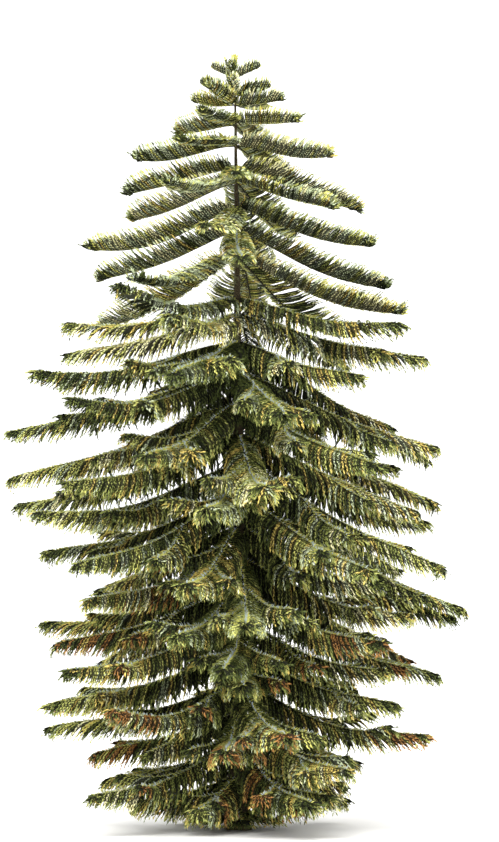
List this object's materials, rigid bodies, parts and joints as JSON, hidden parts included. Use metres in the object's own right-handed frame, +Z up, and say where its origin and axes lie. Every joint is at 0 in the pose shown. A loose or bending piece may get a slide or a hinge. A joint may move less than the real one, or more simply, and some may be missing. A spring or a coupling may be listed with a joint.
{
  "type": "norfolk island pine",
  "caption": "Tall garden conifer with one straight trunk, tiers of frond-like drooping boughs and a small upturned tuft at its tip, rooted in level ground.",
  "frame": {"origin": "centre of the flat cut under the trunk, at ground level", "axes": "+Z up along the trunk, -Y towards the viewer of the picture, +X to the picture's right"},
  "size_m": [5.8458, 5.8334, 10],
  "materials": {
    "bark": "rough grey-brown bark with level leaf-scar rings",
    "needles": "dull olive-green needles with yellow-green, rusty and blue-green sprays"
  },
  "bodies": {
    "root": {"trunk": "bark", "whorl_01": "needles", "whorl_02": "needles", "whorl_03": "needles", "whorl_04": "needles", "whorl_05": "needles", "whorl_06": "needles", "whorl_07": "needles", "whorl_08": "needles", "whorl_09": "needles", "whorl_10": "needles", "whorl_11": "needles", "whorl_12": "needles", "whorl_13": "needles", "whorl_14": "needles", "whorl_15": "needles", "whorl_16": "needles", "whorl_17": "needles", "whorl_18": "needles", "whorl_19": "needles", "whorl_20": "needles", "whorl_21": "needles", "whorl_22": "needles", "whorl_23": "needles", "whorl_24": "needles", "whorl_25": "needles", "whorl_26": "needles", "whorl_27": "needles", "whorl_28": "needles"}
  },
  "joints": []
}
